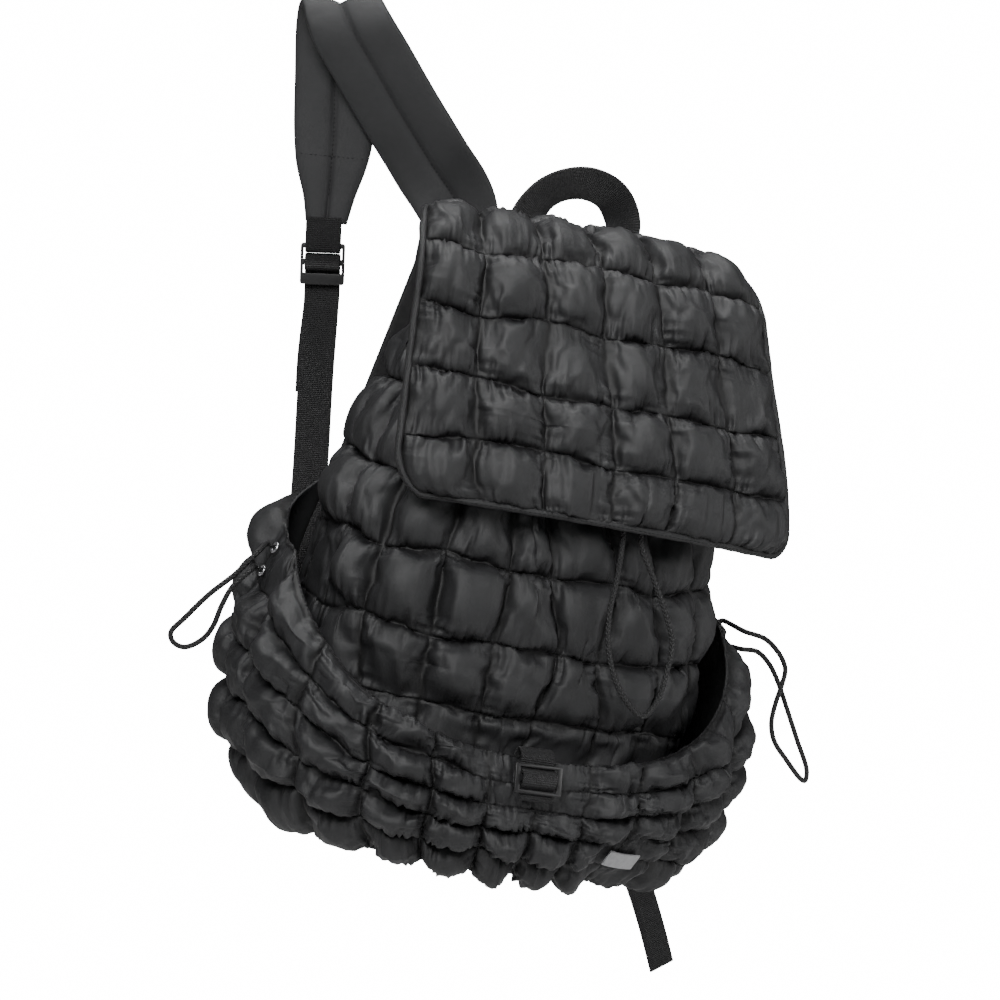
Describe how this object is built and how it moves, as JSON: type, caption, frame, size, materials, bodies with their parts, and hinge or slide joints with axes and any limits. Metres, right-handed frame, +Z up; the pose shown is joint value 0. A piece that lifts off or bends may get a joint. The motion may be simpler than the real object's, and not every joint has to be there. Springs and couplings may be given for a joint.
{
  "type": "quilted puffer backpack",
  "caption": "Soft quilted backpack hanging tilted from one shoulder strap, with a puffed flap over a gathered mouth, a wrap-around front pocket, webbing straps, carry handle and drawcord loops",
  "frame": {"origin": "under the top fold of the left shoulder strap, where a hook holds the bag", "axes": "X to the viewer's right across the bag's front, Y to its back, Z up along gravity; the bag hangs turned 13 degrees about Y"},
  "size_m": [0.4555, 0.2543, 0.6862],
  "materials": {
    "shell_fabric": "quilted satin nylon over soft filling",
    "panel_fabric": "plain woven nylon",
    "binding_fabric": "folded and stitched nylon",
    "strap_fabric": "padded woven nylon with a centre seam",
    "webbing": "ribbed woven webbing",
    "cord": "braided cord",
    "plastic": "moulded satin plastic",
    "eyelet_metal": "plated ring",
    "label": "plain woven patch"
  },
  "bodies": {
    "root": {"body": "shell_fabric", "back_panel": "panel_fabric", "base_panel": "panel_fabric", "front_pocket": "shell_fabric", "flap": "shell_fabric", "flap_binding": "binding_fabric", "carry_handle": "webbing", "front_tab_webbing": "webbing", "front_tab_slider": "plastic", "label": "label", "mouth_eyelet_1": "eyelet_metal", "mouth_eyelet_2": "eyelet_metal", "mouth_cord": "cord", "left_pocket_eyelet_1": "eyelet_metal", "left_pocket_eyelet_2": "eyelet_metal", "left_pocket_cord": "cord", "right_pocket_eyelet_1": "eyelet_metal", "right_pocket_eyelet_2": "eyelet_metal", "right_pocket_cord": "cord", "left_strap_pad": "strap_fabric", "right_strap_pad": "strap_fabric", "left_strap_lock": "plastic", "left_strap_link": "webbing", "left_strap_webbing": "webbing", "left_anchor_tab": "panel_fabric", "right_strap_lock": "plastic", "right_strap_link": "webbing", "right_strap_webbing": "webbing", "right_anchor_tab": "panel_fabric"}
  },
  "joints": []
}
